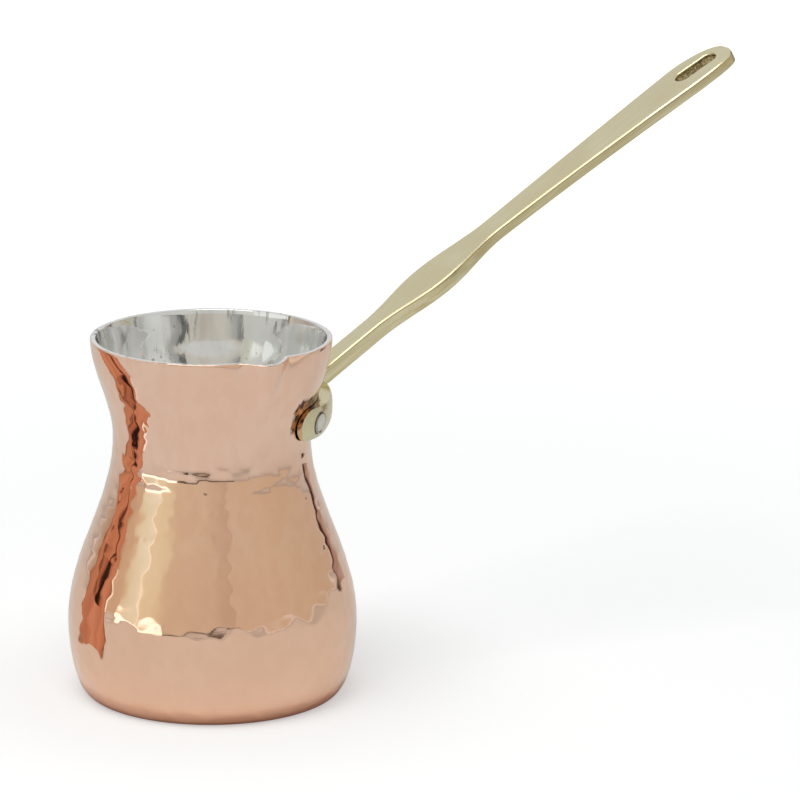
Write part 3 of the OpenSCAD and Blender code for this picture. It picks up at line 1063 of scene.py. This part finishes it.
def add_room():
    """The walls at a distance, with the bright and dark lines along their lower edge."""
    wall = [(WALL_AWAY, EDGE), (WALL_AWAY, WALL_TOP)]
    add_graded_board("front_wall", -90, 124, wall, [
        (-90, (0.62, 0.53, 0.41)), (-82, (0.63, 0.55, 0.43)), (-78, (0.72, 0.72, 0.57)),
        (-72, (0.81, 0.90, 0.78)), (-63, (0.86, 0.99, 0.90)), (-61.5, (1.25, 1.3, 1.2)),
        (-60.5, (0.79, 0.82, 0.66)), (-50, (0.79, 0.81, 0.65)), (-45, (0.73, 0.73, 0.58)),
        (-38, (0.66, 0.615, 0.51)), (-10, (0.635, 0.58, 0.495)), (2, (0.61, 0.55, 0.47)),
        (8, (0.575, 0.505, 0.43)), (14, (0.56, 0.49, 0.415)), (15, (0.51, 0.435, 0.36)),
        (15.7, (0.63, 0.575, 0.495)), (50, (0.62, 0.56, 0.475)), (80, (0.59, 0.54, 0.45)),
        (124, (0.56, 0.51, 0.44))])
    add_graded_board("left_wall", -150, -90, wall, [
        (-150, (0.60, 0.61, 0.62)), (-134, (0.58, 0.57, 0.56)), (-128, (0.53, 0.485, 0.44)),
        (-122, (0.46, 0.39, 0.32)), (-112, (0.42, 0.33, 0.26)), (-90, (0.58, 0.49, 0.38))])
    for name, left, right, below, above, shine in [
            ("bright_edge", -82, -39, 0.022, 0.028, (1.9, 1.9, 1.9)),
            ("dark_edge", -39, -29, 0.025, 0.018, (0.03, 0.02, 0.02)),
            ("thin_edge", -29, 24, 0.012, 0.008, (0.05, 0.035, 0.03))]:
        add_board(name, left, right, [(EDGE_AWAY, EDGE - below), (EDGE_AWAY, EDGE + above)], shine)


def add_near_boards():
    """Dark orange boards close to the pot's left side, in three rows, and a screen to its right."""
    add_graded_board("near_low", -104, -75, [(0.072, 0.0005), (0.078, 0.012), (0.081, 0.026)], [
        (-104, (0.12, 0.04, 0.02)), (-102, (0.55, 0.27, 0.17)), (-96, (0.48, 0.22, 0.14)),
        (-90, (0.62, 0.32, 0.21)), (-84, (0.52, 0.24, 0.15)), (-80, (0.62, 0.31, 0.20)),
        (-76.5, (0.50, 0.22, 0.13)), (-75, (0.12, 0.04, 0.02))], waver=4)
    add_graded_board("near_middle", -104, -75, [(0.081, 0.026), (0.083, 0.05)], [
        (-104, (0.10, 0.03, 0.01)), (-102, (0.50, 0.24, 0.15)), (-97, (0.55, 0.27, 0.17)),
        (-95.5, (0.12, 0.04, 0.02)), (-94, (0.45, 0.20, 0.12)), (-90, (0.35, 0.12, 0.07)),
        (-88.5, (0.02, 0.01, 0.01)), (-84.5, (0.015, 0.01, 0.01)), (-83.5, (0.45, 0.20, 0.12)),
        (-80, (0.62, 0.31, 0.20)), (-77.5, (0.50, 0.22, 0.13)), (-76.7, (0.12, 0.04, 0.02)),
        (-76.2, (1.2, 1.2, 1.1)), (-75, (1.3, 1.3, 1.2))], waver=7)
    add_graded_board("near_top", -104, -75, [(0.083, 0.05), (0.085, 0.088)], [
        (-104, (0.10, 0.03, 0.01)), (-103, (0.50, 0.24, 0.15)), (-98, (0.62, 0.32, 0.20)),
        (-93, (0.50, 0.23, 0.14)), (-88, (0.58, 0.29, 0.18)), (-86, (0.30, 0.10, 0.06)),
        (-85, (0.04, 0.01, 0.01)), (-84, (0.05, 0.02, 0.01)), (-83, (0.48, 0.22, 0.14)),
        (-80, (0.62, 0.31, 0.20)), (-76, (0.50, 0.22, 0.13)), (-75, (0.12, 0.04, 0.02))],
        waver=7, lean=-450)
    add_graded_board("right_screen", 122, 136, [(0.35, 0), (0.35, 0.4)], [
        (122, (0.05, 0.03, 0.02)), (124.5, (0.04, 0.02, 0.02)), (126, (0.36, 0.25, 0.22)),
        (130, (0.42, 0.32, 0.30)), (136, (0.55, 0.50, 0.50))])


def above_mouth(low, high):
    """Outline of an upright board close above the mouth, for the tin to mirror."""
    return [(MOUTH_AWAY, low), (MOUTH_AWAY, high)]


def add_mouth_boards():
    """Boards for the tin to mirror, the greyer ones lower down and the lighter ones above them."""
    add_graded_board("mouth_shade", 15, 62, above_mouth(0.095, 0.1085), [
        (15, (0.61, 0.57, 0.49)), (23, (0.60, 0.56, 0.48)), (24, (0.03, 0.03, 0.025)),
        (31, (0.05, 0.05, 0.045)), (34, (0.30, 0.29, 0.27)), (44, (0.42, 0.41, 0.38)),
        (50, (0.66, 0.65, 0.60)), (62, (0.78, 0.77, 0.73))], waver=5, slant=1100)
    add_graded_board("mouth_grey", -40, -18, above_mouth(0.092, 0.1075), [
        (-40, (0.13, 0.13, 0.12)), (-37.5, (0.17, 0.17, 0.155)), (-34, (0.33, 0.32, 0.295)),
        (-28, (0.44, 0.43, 0.39)), (-18, (0.61, 0.57, 0.49))], waver=1.5)
    add_graded_board("mouth_plain", -72, -42, above_mouth(0.088, 0.1045), [
        (-72, (0.60, 0.59, 0.55)), (-60, (0.62, 0.61, 0.57)), (-42, (0.60, 0.59, 0.54))], waver=2)
    add_graded_board("mouth_dull", -104, -72, above_mouth(0.088, 0.1005), [
        (-104, (0.42, 0.41, 0.38)), (-97, (0.50, 0.49, 0.45)), (-95, (0.12, 0.12, 0.11)),
        (-94, (0.50, 0.49, 0.45)), (-90, (0.56, 0.55, 0.51)), (-72, (0.60, 0.59, 0.55))], waver=4)
    add_graded_board("mouth_left", 58, 95, [(CARD_AWAY, 0.094), (CARD_AWAY, 0.125)], [
        (58, (0.76, 0.755, 0.72)), (79.5, (0.75, 0.745, 0.71)), (85, (0.50, 0.49, 0.46)),
        (90, (0.60, 0.59, 0.55)), (92, (0.15, 0.15, 0.13)), (93.5, (0.55, 0.54, 0.50)),
        (95, (0.50, 0.49, 0.45))], waver=8)
    add_graded_board("mouth_light", -55, 100, above_mouth(0.1097, 0.14), [
        (-55, (0.76, 0.75, 0.72)), (-45, (0.72, 0.71, 0.67)), (0, (0.68, 0.67, 0.63)),
        (100, (0.72, 0.71, 0.68))])
    add_board("mouth_bright", -72, -55, above_mouth(0.1055, 0.14), (0.96, 0.96, 0.93))
    add_board("mouth_glint", -102, -72, above_mouth(0.1015, 0.14), (0.98, 0.98, 0.95))


add_floor()
add_world()
add_lamp()
add_room()
add_near_boards()
add_board("soft_box", -50, 30, [(0.8, 0.85), (0.35, 1.4)], (1.7, 1.7, 1.65))
add_mouth_boards()
